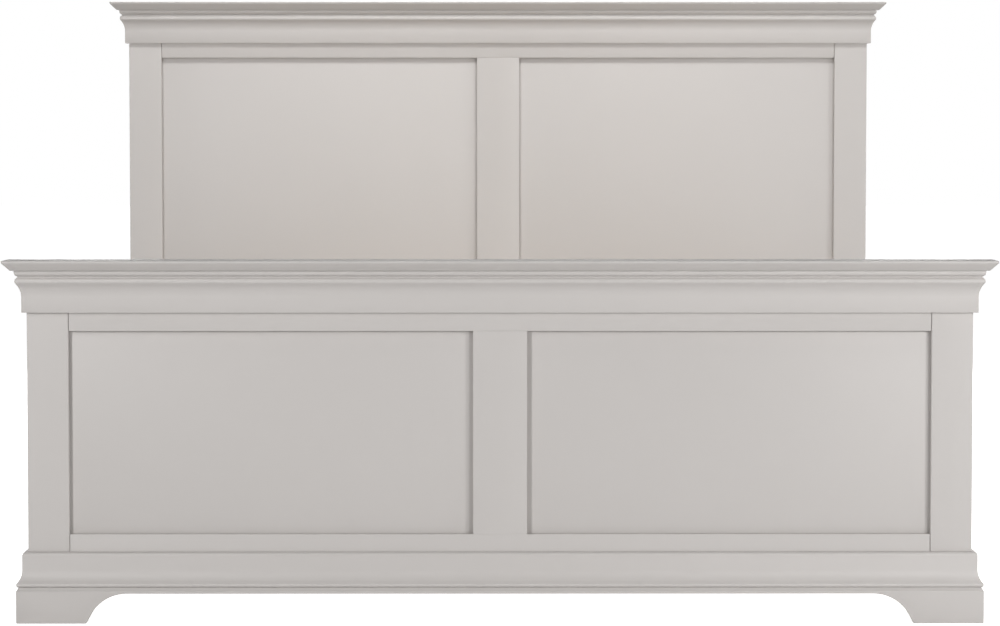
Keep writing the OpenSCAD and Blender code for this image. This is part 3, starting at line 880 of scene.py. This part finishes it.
def cornice_members(settings):
    """The cornice's profile down from the cap, as (projection, height)."""
    low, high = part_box("foot_cornice_front")
    out = settings.cornice_out
    quirk = settings.quirk_out
    band = settings.fascia_out
    ovolo = settings.ovolo
    ovolo_x = out - ovolo
    ovolo_turn = math.acos((quirk - ovolo_x) / ovolo)
    bead = settings.bead
    bead_x = out - BEAD_BACK - bead
    bead_top = -CORNICE_EDGE - arc_drop(ovolo, quirk - ovolo_x) - QUIRK_HEIGHT
    bead_y = bead_top - arc_drop(bead, quirk - bead_x)
    cove = settings.cove
    cove_x = band + cove
    cove_y = bead_y - arc_drop(bead + cove, cove_x - bead_x)
    cove_turn = math.atan2(bead_y - cove_y, cove_x - bead_x)
    bead_turn = math.acos((quirk - bead_x) / bead) + cove_turn
    return [
        ("line", out, 0.0),
        ("line", out, -CORNICE_EDGE),
        ("arc", ovolo_x, -CORNICE_EDGE, -math.degrees(ovolo_turn)),
        ("line", quirk, bead_top),
        ("arc", bead_x, bead_y, -math.degrees(bead_turn)),
        ("arc", cove_x, cove_y, math.degrees(cove_turn)),
        ("line", band, low.z - high.z),
        ("line", 0.0, low.z - high.z),
        ("line", 0.0, 0.0),
    ]


def base_mould_members(settings):
    """The base moulding's profile up from the plinth, as (projection, height)."""
    height = MOULD_HIGH.z - MOULD_LOW.z
    out = settings.mould_out
    nose = settings.mould_nose
    flare = settings.flare
    flare_turn = math.acos((out + flare - nose) / flare)
    top_round = settings.mould_round
    return [
        ("line", nose - NOSE_BEVEL, 0.0),
        ("line", nose, NOSE_BEVEL),
        ("line", nose, FLARE_TOP - flare * math.sin(flare_turn)),
        ("arc", out + flare, FLARE_TOP, -math.degrees(flare_turn)),
        ("line", out, height - top_round),
        ("arc", out - top_round, height - top_round, 90),
        ("line", 0.0, height),
        ("line", 0.0, 0.0),
    ]


def plinth_members():
    """The plinth's profile up from the floor, as (projection, height)."""
    low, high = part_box("plinth_front")
    thick = FOOT_FRONT - low.y
    back, down = PLINTH_CHAMFER
    return [
        ("line", thick, 0.0),
        ("line", thick, high.z - down),
        ("line", thick - back, high.z),
        ("line", 0.0, high.z),
        ("line", 0.0, 0.0),
    ]


def run_front_moulding(name, members, front, base):
    """A length across the front of a board, mitred at both ends."""
    reach = HALF_W + OVERRUN
    corner = Vector((HALF_W, front, base))
    return run_moulding(
        name,
        members,
        lambda out, up: (-reach, front - out, base + up),
        (-1, 0, 0),
        (2 * reach, 0, 0),
        [(corner, (1, 1, 0)), (corner * Vector((-1, 1, 1)), (-1, 1, 0))],
    )


def run_side_moulding(name, members, front, base, side):
    """A return along the left or right side of a board, mitred at the front, square at the back."""
    corner = Vector((side * HALF_W, front, base))
    return run_moulding(
        name,
        members,
        lambda out, up: (side * (HALF_W + out), front - OVERRUN, base + up),
        (0, -side, 0),
        (0, 3 * OVERRUN, 0),
        [(corner, (-side, -1, 0)), (corner + Vector((0, POST_T, 0)), (0, 1, 0))],
    )


def run_mitred_set(stem, members, front, base, finish):
    """Front length and two returns of a moulding, each finished by the given function."""
    piece = run_front_moulding(f"painted_{stem}_front", members, front, base)
    finish(piece)
    fit(piece, f"{stem}_front", "Paint across")
    for side, label in ((-1, "left"), (1, "right")):
        piece = run_side_moulding(f"painted_{stem}_{label}", members, front, base, side)
        finish(piece)
        fit(piece, f"{stem}_{label}", "Paint lengthwise")


class BED_OT_cornices(bpy.types.Operator):
    """Runs the mitred cornices of both boards"""

    bl_idname = "bed.make_cornices"
    bl_label = "Cornices"

    def execute(self, context):
        settings = context.scene.bed_mouldings
        members = cornice_members(settings)
        for stem, front, base in (
            ("foot_cornice", FOOT_FRONT, FOOT_CAP_Z),
            ("head_cornice", HEAD_FRONT, HEAD_CAP_Z),
        ):
            run_mitred_set(stem, members, front, base, lambda piece: soften(piece, settings.edge))
        return {"FINISHED"}


class BED_OT_base_moulding(bpy.types.Operator):
    """Runs the mitred moulding round the foot of the footboard"""

    bl_idname = "bed.make_base_moulding"
    bl_label = "Base moulding"

    def execute(self, context):
        settings = context.scene.bed_mouldings
        members = base_mould_members(settings)
        run_mitred_set(
            "base_mould", members, FOOT_FRONT, MOULD_LOW.z, lambda piece: soften(piece, settings.edge)
        )
        return {"FINISHED"}


def arch_cutter(settings):
    """The space between the bracket feet, with its two round shoulders."""
    low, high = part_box("plinth_front")
    rise, radius, slope = settings.arch_rise, settings.arch_radius, settings.arch_slope
    foot_x = high.x - settings.bracket_foot
    tangent_z = rise - radius * (1 - math.cos(slope))
    shoulder_x = foot_x - radius * math.sin(slope) - tangent_z / math.tan(slope)
    low_x = foot_x + ARCH_BELOW / math.tan(slope)
    tangent_x = shoulder_x + radius * math.sin(slope)
    members = [
        ("line", -tangent_x, tangent_z),
        ("arc", -shoulder_x, rise - radius, -math.degrees(slope)),
        ("line", shoulder_x, rise),
        ("arc", shoulder_x, rise - radius, -math.degrees(slope)),
        ("line", low_x, -ARCH_BELOW),
        ("line", -low_x, -ARCH_BELOW),
    ]
    front = low.y - 10 * MM
    cutter = draw_outline(
        "Arch", (-low_x, -ARCH_BELOW), members, lambda across, up: (across, front, up), (0, -1, 0)
    )
    bpy.ops.mesh.edge_face_add()
    extrude((0, 50 * MM, 0))
    close_solid()
    return cutter


class BED_OT_plinth(bpy.types.Operator):
    """Makes the plinth with its bracket feet, and the blocks glued behind them"""

    bl_idname = "bed.make_plinth"
    bl_label = "Plinth and bracket feet"

    def execute(self, context):
        settings = context.scene.bed_mouldings

        def finish(piece):
            if piece.name.endswith("front"):
                cut(piece, arch_cutter(settings))
            ease_edges(piece, settings.edge * 2, shortest=PLINTH_EDGE)

        run_mitred_set("plinth", plinth_members(), FOOT_FRONT, 0.0, finish)
        blocks = clean_copy("glue_blocks", "pine_glue_blocks")
        soften(blocks, 0.8 * MM)
        number_board(blocks, BLOCK_PLACE)
        fit(blocks, "glue_blocks", "Pine upright")
        return {"FINISHED"}


# The base


# Places of the pine pieces in the log: a start, and the step from one piece to the next. The slats'
# steps, a golden section each, spread them over the log's length
BLOCK_PLACE = 0.4
LEDGE_PLACE, LEDGE_STEP = 1.3, 0.7
LEG_PLACE, LEG_STEP = 4.1, 1
SLAT_PLACE, SLAT_STEP, LOG_LENGTH = 0.3, 0.618, 9

# Hexagon and thread of a levelling foot's stem: radii of crest and root, how far the nut stands above
# the pad, its height and radius, and how far above it the thread starts
CREST, ROOT = 3.97 * MM, 3.3 * MM
HEX_GAP, HEX_HEIGHT, HEX_RADIUS = 0.3 * MM, 5 * MM, 7.5 * MM
THREAD_GAP = 1.2 * MM

# Start and end of the thread's crest, and end of its flank, as shares of the pitch
CREST_START, CREST_END, FLANK_END = 0.42, 0.56, 0.98

# Radii of a leg nut's bore, barrel and flange, and the flange's thickness
NUT_BORE, NUT_BARREL, NUT_FLANGE, NUT_RIM = 4.05 * MM, 5.5 * MM, 11 * MM, 1.5 * MM


class BED_OT_side_rails(bpy.types.Operator):
    """Finishes the painted side rails"""

    bl_idname = "bed.make_side_rails"
    bl_label = "Side rails"

    def execute(self, context):
        width = context.scene.bed_boards.post_edge
        for side in SIDES:
            ease_node(f"side_rail_{side}", "Paint lengthwise", width, shortest=1.0, segments=3)
        return {"FINISHED"}


class BED_OT_ledges(bpy.types.Operator):
    """Finishes the ledges that carry the slats, and the centre rail"""

    bl_idname = "bed.make_ledges"
    bl_label = "Ledges and centre rail"

    def execute(self, context):
        width = context.scene.bed_boards.timber_edge
        for count, node in enumerate(("slat_ledge_left", "slat_ledge_right", "centre_rail")):
            number = LEDGE_PLACE + LEDGE_STEP * count
            ease_node(node, "Pine lengthwise", width, shortest=1.0, number=number)
        return {"FINISHED"}


def countersink_cutter(x, y, top):
    """The cone and the bore of a countersunk screw's hole through a slat."""
    cutter = add_primitive(
        bpy.ops.mesh.primitive_cone_add,
        vertices=28,
        radius1=2.1 * MM,
        radius2=4.1 * MM,
        depth=2 * MM,
        location=(x, y, top - MM),
    )
    open_mesh(cutter)
    select_elements(cutter, "FACE", lambda face: face.normal.z > 0.9)
    extrude((0, 0, 2 * MM))
    select_elements(cutter, "FACE", lambda face: face.normal.z < -0.9)
    extrude((0, 0, -30 * MM))
    close_mesh()
    return cutter


class BED_OT_slats(bpy.types.Operator):
    """Planes one slat, drills it, and lays twelve of them"""

    bl_idname = "bed.make_slats"
    bl_label = "Slats"

    def execute(self, context):
        low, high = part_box(SLATS[0])
        middle = (low + high) / 2
        first = add_primitive(bpy.ops.mesh.primitive_cube_add, scale=high - low, size=1, location=middle)
        first.name = f"pine_{SLATS[0]}"
        ease_edges(first, context.scene.bed_boards.timber_edge, shortest=0.01, segments=3)
        for x in (-SLAT_SCREW_X, SLAT_SCREW_X):
            for along in (-0.25, 0.25):
                cut(first, countersink_cutter(x, middle.y + along * (high.y - low.y), high.z))
        smooth(first)
        pieces = [first]
        for node in SLATS[1:]:
            piece = link_object(f"pine_{node}", first.data.copy())
            piece.location.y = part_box(node)[0].y - low.y
            apply_place(piece)
            pieces.append(piece)
        for number, (node, piece) in enumerate(zip(SLATS, pieces)):
            number_board(piece, (number * SLAT_STEP) % 1 * LOG_LENGTH + SLAT_PLACE)
            fit(piece, node, "Pine across")
        return {"FINISHED"}


class BED_OT_centre_legs(bpy.types.Operator):
    """Finishes the two centre legs"""

    bl_idname = "bed.make_centre_legs"
    bl_label = "Centre legs"

    def execute(self, context):
        width = context.scene.bed_boards.timber_edge
        for count, place in enumerate(LEGS):
            number = LEG_PLACE + LEG_STEP * count
            ease_node(f"centre_leg_{place}", "Pine upright", width, shortest=0.04, number=number)
        return {"FINISHED"}


def leg_seat(place, height):
    """The point on a centre leg's axis at this height."""
    low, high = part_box(f"centre_leg_{place}")
    middle = (low + high) / 2
    return (middle.x, middle.y, height)


def make_stem(place, pitch, sides):
    """Threaded stem with its hexagon, wound out to the floor."""
    low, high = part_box(f"levelling_stem_{place}")
    hex_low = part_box(f"levelling_pad_{place}")[1].z + HEX_GAP
    hex_high = hex_low + HEX_HEIGHT
    outline = [(0.0, low.z), (CREST - MM, low.z), (CREST, low.z + MM), (CREST, hex_high + MM)]
    outline += [(ROOT, hex_high + 1.6 * MM), (ROOT, high.z - MM), (ROOT - 0.6 * MM, high.z), (0.0, high.z)]
    core = turn_solid(f"zinc_stem_{place}", outline, sides)
    valley = ROOT - 0.1 * MM
    start = hex_high + THREAD_GAP
    thread = turn_solid(
        "Thread",
        [
            (valley, start),
            (CREST, start + CREST_START * pitch),
            (CREST, start + CREST_END * pitch),
            (valley, start + FLANK_END * pitch),
        ],
        sides,
        rise=pitch,
        turns=int((high.z - start - 2 * MM) / pitch),
    )
    nut = add_hexagon(HEX_RADIUS, HEX_HEIGHT, (hex_low + hex_high) / 2)
    soften(nut, 0.5 * MM)
    select_only(core, thread, nut)
    bpy.ops.object.join()
    smooth(core, 35)
    core.location = leg_seat(place, 0)
    apply_place(core)
    return core


class BED_OT_levelling_feet(bpy.types.Operator):
    """Makes the levelling feet: pads, threaded stems and the nuts they turn in"""

    bl_idname = "bed.make_levelling_feet"
    bl_label = "Levelling feet"

    def execute(self, context):
        fixings = context.scene.bed_fixings
        for place in LEGS:
            node = f"levelling_pad_{place}"
            pad = clean_copy(node, f"plastic_pad_{place}")
            soften(pad, 0.6 * MM)
            fit(pad, node, PLASTIC, f"pad_{place}")
            stem = make_stem(place, fixings.pitch, fixings.sides)
            fit(stem, f"levelling_stem_{place}", ZINC, f"stem_{place}")
        low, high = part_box("leg_nuts")
        tall = high.z - low.z
        outline = [(NUT_BORE, 0.0), (NUT_FLANGE, 0.0), (NUT_FLANGE, NUT_RIM), (NUT_BARREL, NUT_RIM)]
        outline += [(NUT_BARREL, tall), (NUT_BORE, tall), (NUT_BORE, 0.0)]
        nut = turn_solid("Nut", outline, fixings.sides)
        soften(nut, 0.3 * MM)
        seats = [(leg_seat(place, low.z), (0, 0, 1)) for place in LEGS]
        place_copies("leg_nuts", nut, seats)
        return {"FINISHED"}


# Steel fixings


# Turned outlines in millimetres, as (radius, height) with the seat of the head at height 0
DOME_TURNS = (0.35, 0.7, 1.05, 1.35)
BOLT = [(0, -26), (3, -26), (4, -25), (4, 0), (6.6, 0), (7, 0.4), (7, 1.2)]
BOLT += [(7 - 2 * (1 - math.cos(turn)), 1.2 + 3.2 * math.sin(turn)) for turn in DOME_TURNS]
BOLT += [(4.8, 4.4), (0, 4.4)]
PAN_SCREW = [(0, -20), (2, -17), (2, 0), (4, 0), (4, 0.6), (3.5, 1.5), (2.5, 2.2), (0, 2.4)]
FLAT_SCREW = [(0, -45), (2, -42), (2, -2), (4, -0.15), (3.9, 0), (0, 0)]

# Hexagon socket of a bolt, and cross recess of a screw: width, and depth in each kind of head
SOCKET_RADIUS, SOCKET_DEPTH, BOLT_TOP = 2.9 * MM, 4.8 * MM, 4.4 * MM
CROSS, PAN_CROSS_DEPTH, FLAT_CROSS_DEPTH, PAN_TOP = 3.6 * MM, 1.7 * MM, 1.9 * MM, 2.4 * MM

# Heights above the floor, and distances from the side rails, the boards or the middle of the bed
BOLT_HEIGHTS, BOLT_INSET = (0.23, 0.28), 18 * MM
BRACKET_SCREW_HEIGHTS, BRACKET_SCREW_REACHES = (0.227, 0.283), (21.6 * MM, 46.8 * MM)
HANGER_SCREW_HEIGHTS, HANGER_SCREW_X = (0.228, 0.26), 36 * MM
LEDGE_SCREW_DROP = 20 * MM


class BED_OT_brackets(bpy.types.Operator):
    """Finishes the corner brackets, the centre rail's hangers and the threaded inserts"""

    bl_idname = "bed.make_brackets"
    bl_label = "Brackets and hangers"

    def execute(self, context):
        for node in ("corner_brackets", "centre_rail_hangers"):
            ease_node(node, ZINC, 0.6 * MM, shortest=2.8 * MM)
        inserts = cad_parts["threaded_inserts"].data.materials
        inserts.clear()
        inserts.append(bpy.data.materials[ZINC])
        return {"FINISHED"}


def turn_fixing(name, outline, sides):
    """Turns a screw or bolt from its outline in millimetres."""
    return turn_solid(name, [(radius * MM, height * MM) for radius, height in outline], sides)


def corner_places():
    """Seats of the bolts that go through the brackets into the posts."""
    inset = RAIL_INNER - BOLT_INSET
    for x in (-inset, inset):
        for z in BOLT_HEIGHTS:
            yield (x, FOOT_INNER + STEEL, z), (0, 1, 0)
            yield (x, HEAD_FRONT - STEEL, z), (0, -1, 0)


class BED_OT_bolts(bpy.types.Operator):
    """Makes the bolts of the knock-down joints"""

    bl_idname = "bed.make_bolts"
    bl_label = "Corner bolts"

    def execute(self, context):
        bolt = turn_fixing("Bolt", BOLT, context.scene.bed_fixings.sides)
        cut(bolt, add_hexagon(SOCKET_RADIUS, SOCKET_DEPTH, BOLT_TOP))
        smooth(bolt)
        place_copies("corner_bolts", bolt, corner_places())
        return {"FINISHED"}


def bracket_screw_places():
    """Seats of the pan head screws: four in each bracket, four in each hanger."""
    for side in (-1, 1):
        for end, inward in ((FOOT_INNER, 1), (HEAD_FRONT, -1)):
            for along in BRACKET_SCREW_REACHES:
                for z in BRACKET_SCREW_HEIGHTS:
                    yield (side * (RAIL_INNER - STEEL), end + inward * along, z), (-side, 0, 0)
    low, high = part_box("centre_rail_hangers")
    for side in (-1, 1):
        for z in HANGER_SCREW_HEIGHTS:
            yield (side * HANGER_SCREW_X, low.y + STEEL, z), (0, 1, 0)
            yield (side * HANGER_SCREW_X, high.y - STEEL, z), (0, -1, 0)


def countersunk_places():
    """Seats of the countersunk screws: down through the slats, sideways through the ledges."""
    boxes = [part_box(node) for node in SLATS]
    for low, high in boxes:
        middle, quarter = (low.y + high.y) / 2, (high.y - low.y) / 4
        for x in (-SLAT_SCREW_X, SLAT_SCREW_X):
            for y in (middle - quarter, middle + quarter):
                yield (x, y, boxes[0][1].z), (0, 0, 1)
    ledge_z = boxes[0][0].z - LEDGE_SCREW_DROP
    for (_, high), (next_low, _) in list(zip(boxes, boxes[1:]))[::2]:
        gap = (high.y + next_low.y) / 2
        for side in (-1, 1):
            yield (side * LEDGE_INNER, gap, ledge_z), (-side, 0, 0)


class BED_OT_screws(bpy.types.Operator):
    """Makes the pan head and the countersunk screws"""

    bl_idname = "bed.make_screws"
    bl_label = "Wood screws"

    def execute(self, context):
        sides = context.scene.bed_fixings.sides
        pan = turn_fixing("Pan head screw", PAN_SCREW, sides)
        cut_cross(pan, CROSS, PAN_CROSS_DEPTH, PAN_TOP)
        place_copies("bracket_screws", pan, bracket_screw_places())
        flat = turn_fixing("Countersunk screw", FLAT_SCREW, sides)
        cut_cross(flat, CROSS, FLAT_CROSS_DEPTH, 0.0)
        place_copies("countersunk_screws", flat, countersunk_places())
        return {"FINISHED"}


# Studio


SOFT_LIGHTS = [
    # name, place, point it faces, width, height, power
    ("Left softbox", (-2.8, -4.4, 1.5), (0.0, -1.0, 0.6), 0.4, 1.2, 63.0),
    ("Right softbox", (2.6, -4.8, 1.5), (0.0, -1.0, 0.6), 0.4, 1.2, 49.0),
    ("High left softbox", (-2.6, -4.2, 3.0), (0.0, -1.0, 0.6), 1.0, 1.0, 28.0),
    ("Overhead", (0.0, -0.6, 3.4), (0.0, 0.9, 0.8), 2.4, 0.8, 12.0),
    ("Right side", (3.2, -0.8, 1.3), (0.0, 1.0, 0.8), 0.8, 1.4, 20.0),
    ("Back fill", (0.0, 6.0, 1.2), (0.0, 1.1, 0.8), 4.0, 2.0, 150.0),
    ("High back fill", (0.0, 5.5, 3.4), (0.0, -0.5, 0.4), 3.0, 1.5, 40.0),
    ("Left far fill", (-6.5, 1.0, 0.7), (0.0, 0.4, 0.5), 2.0, 1.0, 50.0),
    ("Right far fill", (6.5, 1.0, 0.7), (0.0, 0.4, 0.5), 2.0, 1.0, 45.0),
]

# Sideways place and power of each spot on the headboard
HEAD_SPOTS = ((-0.9, 72.0), (-0.3, 72.0), (0.3, 70.0), (0.9, 70.0))

SOFT_SPOTS = [
    # name, place, point it faces, degrees across its cone, power
    *(
        (f"Head spot {number}", (x, -0.8, 3.2), (x, 1.03, 1.0), 40, power)
        for number, (x, power) in enumerate(HEAD_SPOTS, 1)
    ),
    ("Right foot spot", (3.0, -3.4, 1.0), (0.0, -1.04, 0.45), 80, 148.0),
]

# Radius of a spot's source, in metres
SPOT_SOURCE = 0.25

# The camera stands this far to the right of the middle, and is turned this far, in radians
CAMERA_X = -0.018
CAMERA_TURN = -0.0025
SENSOR_WIDTH = 36.0
CAMERA_REACH = 200.0

# Side of the floor, and how far it lies below the feet, so that the two don't flicker
FLOOR_SIDE = 60
FLOOR_DROP = 0.5 * MM

WHITE = (1.0, 1.0, 1.0, 1.0)


def hang_light(name, kind, place, target, power):
    light = bpy.data.lights.new(name, kind)
    light.energy = power
    lamp = link_object(name, light)
    lamp.location = place
    lamp.rotation_euler = (Vector(target) - Vector(place)).to_track_quat("-Z", "Y").to_euler()
    lamp.visible_camera = False
    return light


def add_soft_light(name, place, target, width, height, power):
    light = hang_light(name, "AREA", place, target, power)
    light.shape = "RECTANGLE"
    light.size = width
    light.size_y = height


def add_soft_spot(name, place, target, degrees, power):
    light = hang_light(name, "SPOT", place, target, power)
    light.spot_size = math.radians(degrees)
    light.spot_blend = 1.0
    light.shadow_soft_size = SPOT_SOURCE


def make_floor(colour, glow):
    """A wide floor that looks nearly white to the camera and stays plain in its reflections."""
    floor = add_primitive(bpy.ops.mesh.primitive_plane_add, size=FLOOR_SIDE, location=(0, 0, -FLOOR_DROP))
    floor.name = "Studio floor"
    material, tree, shader = new_material("Pale floor")
    material.cycles.emission_sampling = "NONE"
    mottle = noise(tree, grain_coordinates(tree, "across"), scale=9.0, detail=3.0)
    seen = add_node(tree, "ShaderNodeLightPath").outputs["Is Camera Ray"]
    feed_named(
        tree,
        shader,
        Base_Color=(*colour, 1.0),
        Roughness=spread(tree, mottle, 0.6, 0.7),
        Emission_Color=WHITE,
        Emission_Strength=work_out(tree, "Math", "MULTIPLY", seen, glow),
    )
    floor.data.materials.append(material)


def make_world(ambient):
    """White where the camera sees it, and a softer even light on the object."""
    world = bpy.data.worlds.new("Studio")
    bpy.context.scene.world = world
    world.use_nodes = True
    tree = world.node_tree
    tree.nodes.clear()
    by_camera = add_node(tree, "ShaderNodeLightPath").outputs["Is Camera Ray"]
    mix = add_node(tree, "ShaderNodeMixShader", Fac=by_camera)
    for socket, strength in zip(mix.inputs[1:], (ambient, 1.0)):
        light = add_node(tree, "ShaderNodeBackground", Color=WHITE, Strength=strength)
        feed(tree, socket, light.outputs[0])
    add_node(tree, "ShaderNodeOutputWorld", Surface=mix.outputs[0])


class BED_OT_studio(bpy.types.Operator):
    """Sets up the floor, the lights and the camera"""

    bl_idname = "bed.make_studio"
    bl_label = "Studio"

    def execute(self, context):
        settings = context.scene.bed_studio
        make_floor(settings.floor, settings.glow)
        make_world(settings.ambient)
        for light in SOFT_LIGHTS:
            add_soft_light(*light)
        for spot in SOFT_SPOTS:
            add_soft_spot(*spot)
        camera = link_object("Camera", bpy.data.cameras.new("Camera"))
        camera.data.lens = settings.lens
        camera.data.sensor_width = SENSOR_WIDTH
        camera.data.clip_end = CAMERA_REACH
        camera.location = (CAMERA_X, -settings.distance, settings.height)
        camera.rotation_euler = (math.radians(90) - settings.tilt, 0.0, CAMERA_TURN)
        context.scene.camera = camera
        context.scene.view_settings.view_transform = "Standard"
        return {"FINISHED"}


OPERATORS = [
    BED_OT_finishes,
    BED_OT_posts,
    BED_OT_rails,
    BED_OT_panels,
    BED_OT_caps,
    BED_OT_cornices,
    BED_OT_base_moulding,
    BED_OT_plinth,
    BED_OT_side_rails,
    BED_OT_ledges,
    BED_OT_slats,
    BED_OT_centre_legs,
    BED_OT_levelling_feet,
    BED_OT_brackets,
    BED_OT_bolts,
    BED_OT_screws,
    BED_OT_studio,
]


class BED_PT_sidebar(bpy.types.Panel):
    """Lists the pieces in the order they are made"""

    bl_idname = "BED_PT_sidebar"
    bl_label = "Bed frame"
    bl_space_type = "VIEW_3D"
    bl_region_type = "UI"
    bl_category = "Bed frame"

    def draw(self, context):
        for name, group in GROUPS.items():
            box = self.layout.box()
            for field in group.__annotations__:
                box.prop(getattr(context.scene, name), field)
        for operator in OPERATORS:
            self.layout.operator(operator.bl_idname)


def register():
    for name, group in GROUPS.items():
        bpy.utils.register_class(group)
        setattr(bpy.types.Scene, name, PointerProperty(type=group))
    for kind in (*OPERATORS, BED_PT_sidebar):
        bpy.utils.register_class(kind)


def unregister():
    for kind in (BED_PT_sidebar, *reversed(OPERATORS)):
        bpy.utils.unregister_class(kind)
    for name, group in GROUPS.items():
        delattr(bpy.types.Scene, name)
        bpy.utils.unregister_class(group)


def main():
    register()
    for operator in OPERATORS:
        package, name = operator.bl_idname.split(".")
        getattr(getattr(bpy.ops, package), name)()


if __name__ == "__main__":
    main()
